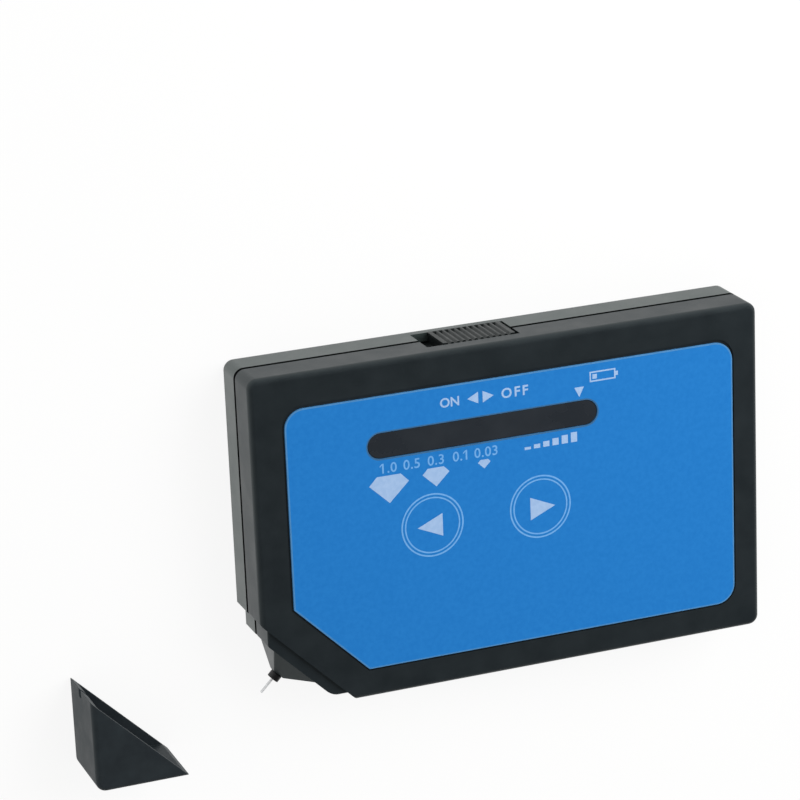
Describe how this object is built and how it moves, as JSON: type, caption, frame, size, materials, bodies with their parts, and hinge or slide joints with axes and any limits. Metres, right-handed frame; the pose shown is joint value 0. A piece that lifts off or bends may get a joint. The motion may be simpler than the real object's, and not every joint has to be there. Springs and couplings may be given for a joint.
{
  "type": "diamond tester",
  "caption": "Pocket diamond tester: flat moulded case with a printed front panel, light window, round keys, a ribbed power slider and a sprung probe at a cut corner, with a slip-on cap.",
  "frame": {"origin": "centre of the case's flat back face, on the surface that the tester and its cap lie on", "axes": "+X along the case away from the probe corner, +Y towards the edge with the power slider, +Z out of the printed front"},
  "size_m": [0.1325, 0.0731, 0.0142],
  "materials": {
    "case_abs": "fine moulded grain, satin black",
    "overlay_film": "velvet printed polyester film, blue",
    "smoked_window": "smoked, near black",
    "white_plastic": "matt white",
    "board_laminate": "green solder mask",
    "black_plastic": "matt black",
    "plated_steel": "bright nickel plate",
    "probe_steel": "polished",
    "copper_brass": "plain machined",
    "cream_plastic": "matt cream insulator",
    "cell_wrap": "printed sleeve, plain"
  },
  "bodies": {
    "case": {"front_shell": "case_abs", "rear_shell": "case_abs", "panel_overlay": "overlay_film", "led_window": "smoked_window", "led_baffle": "white_plastic", "circuit_board": "board_laminate", "led_row": "white_plastic", "board_parts": "black_plastic", "tact_switch_cases": "plated_steel", "slide_switch_case": "plated_steel", "probe_nose": "case_abs", "probe_collar": "black_plastic", "probe_spring": "plated_steel", "probe_end_plug": "cream_plastic", "probe_pins": "copper_brass", "battery_cells": "cell_wrap", "battery_springs": "plated_steel", "battery_plates": "plated_steel", "case_screws": "plated_steel", "board_screws": "plated_steel"},
    "slider": {"power_slider": "case_abs", "slide_switch_lever": "white_plastic"},
    "left_key": {"left_key_cap": "overlay_film", "left_key_stem": "black_plastic", "left_switch_button": "black_plastic"},
    "right_key": {"right_key_cap": "overlay_film", "right_key_stem": "black_plastic", "right_switch_button": "black_plastic"},
    "probe": {"probe_needle": "probe_steel", "probe_heater": "copper_brass"},
    "door": {"battery_door": "case_abs"},
    "cap": {"probe_cap": "case_abs"}
  },
  "joints": [
    {"name": "power_slide", "type": "slide", "parent": "case", "child": "slider", "axis": [-1, 0, 0], "range_m": [0, 0.003]},
    {"name": "left_key_press", "type": "slide", "parent": "case", "child": "left_key", "axis": [0, 0, -1], "range_m": [0, 0.0004], "stiffness_N_per_m": 1500},
    {"name": "right_key_press", "type": "slide", "parent": "case", "child": "right_key", "axis": [0, 0, -1], "range_m": [0, 0.0004], "stiffness_N_per_m": 1500},
    {"name": "probe_plunge", "type": "slide", "parent": "case", "child": "probe", "axis": [0.7071, 0.7071, 0], "range_m": [0, 0.001], "stiffness_N_per_m": 500, "deforming": ["probe_spring"]},
    {"name": "battery_door_slide", "type": "slide", "parent": "case", "child": "door", "axis": [1, 0, 0], "range_m": [0, 0.026]},
    {"name": "cap_slide", "type": "slide", "parent": "case", "child": "cap", "axis": [0.966, 0.2586, 0], "range_m": [0, 0.03364]}
  ]
}
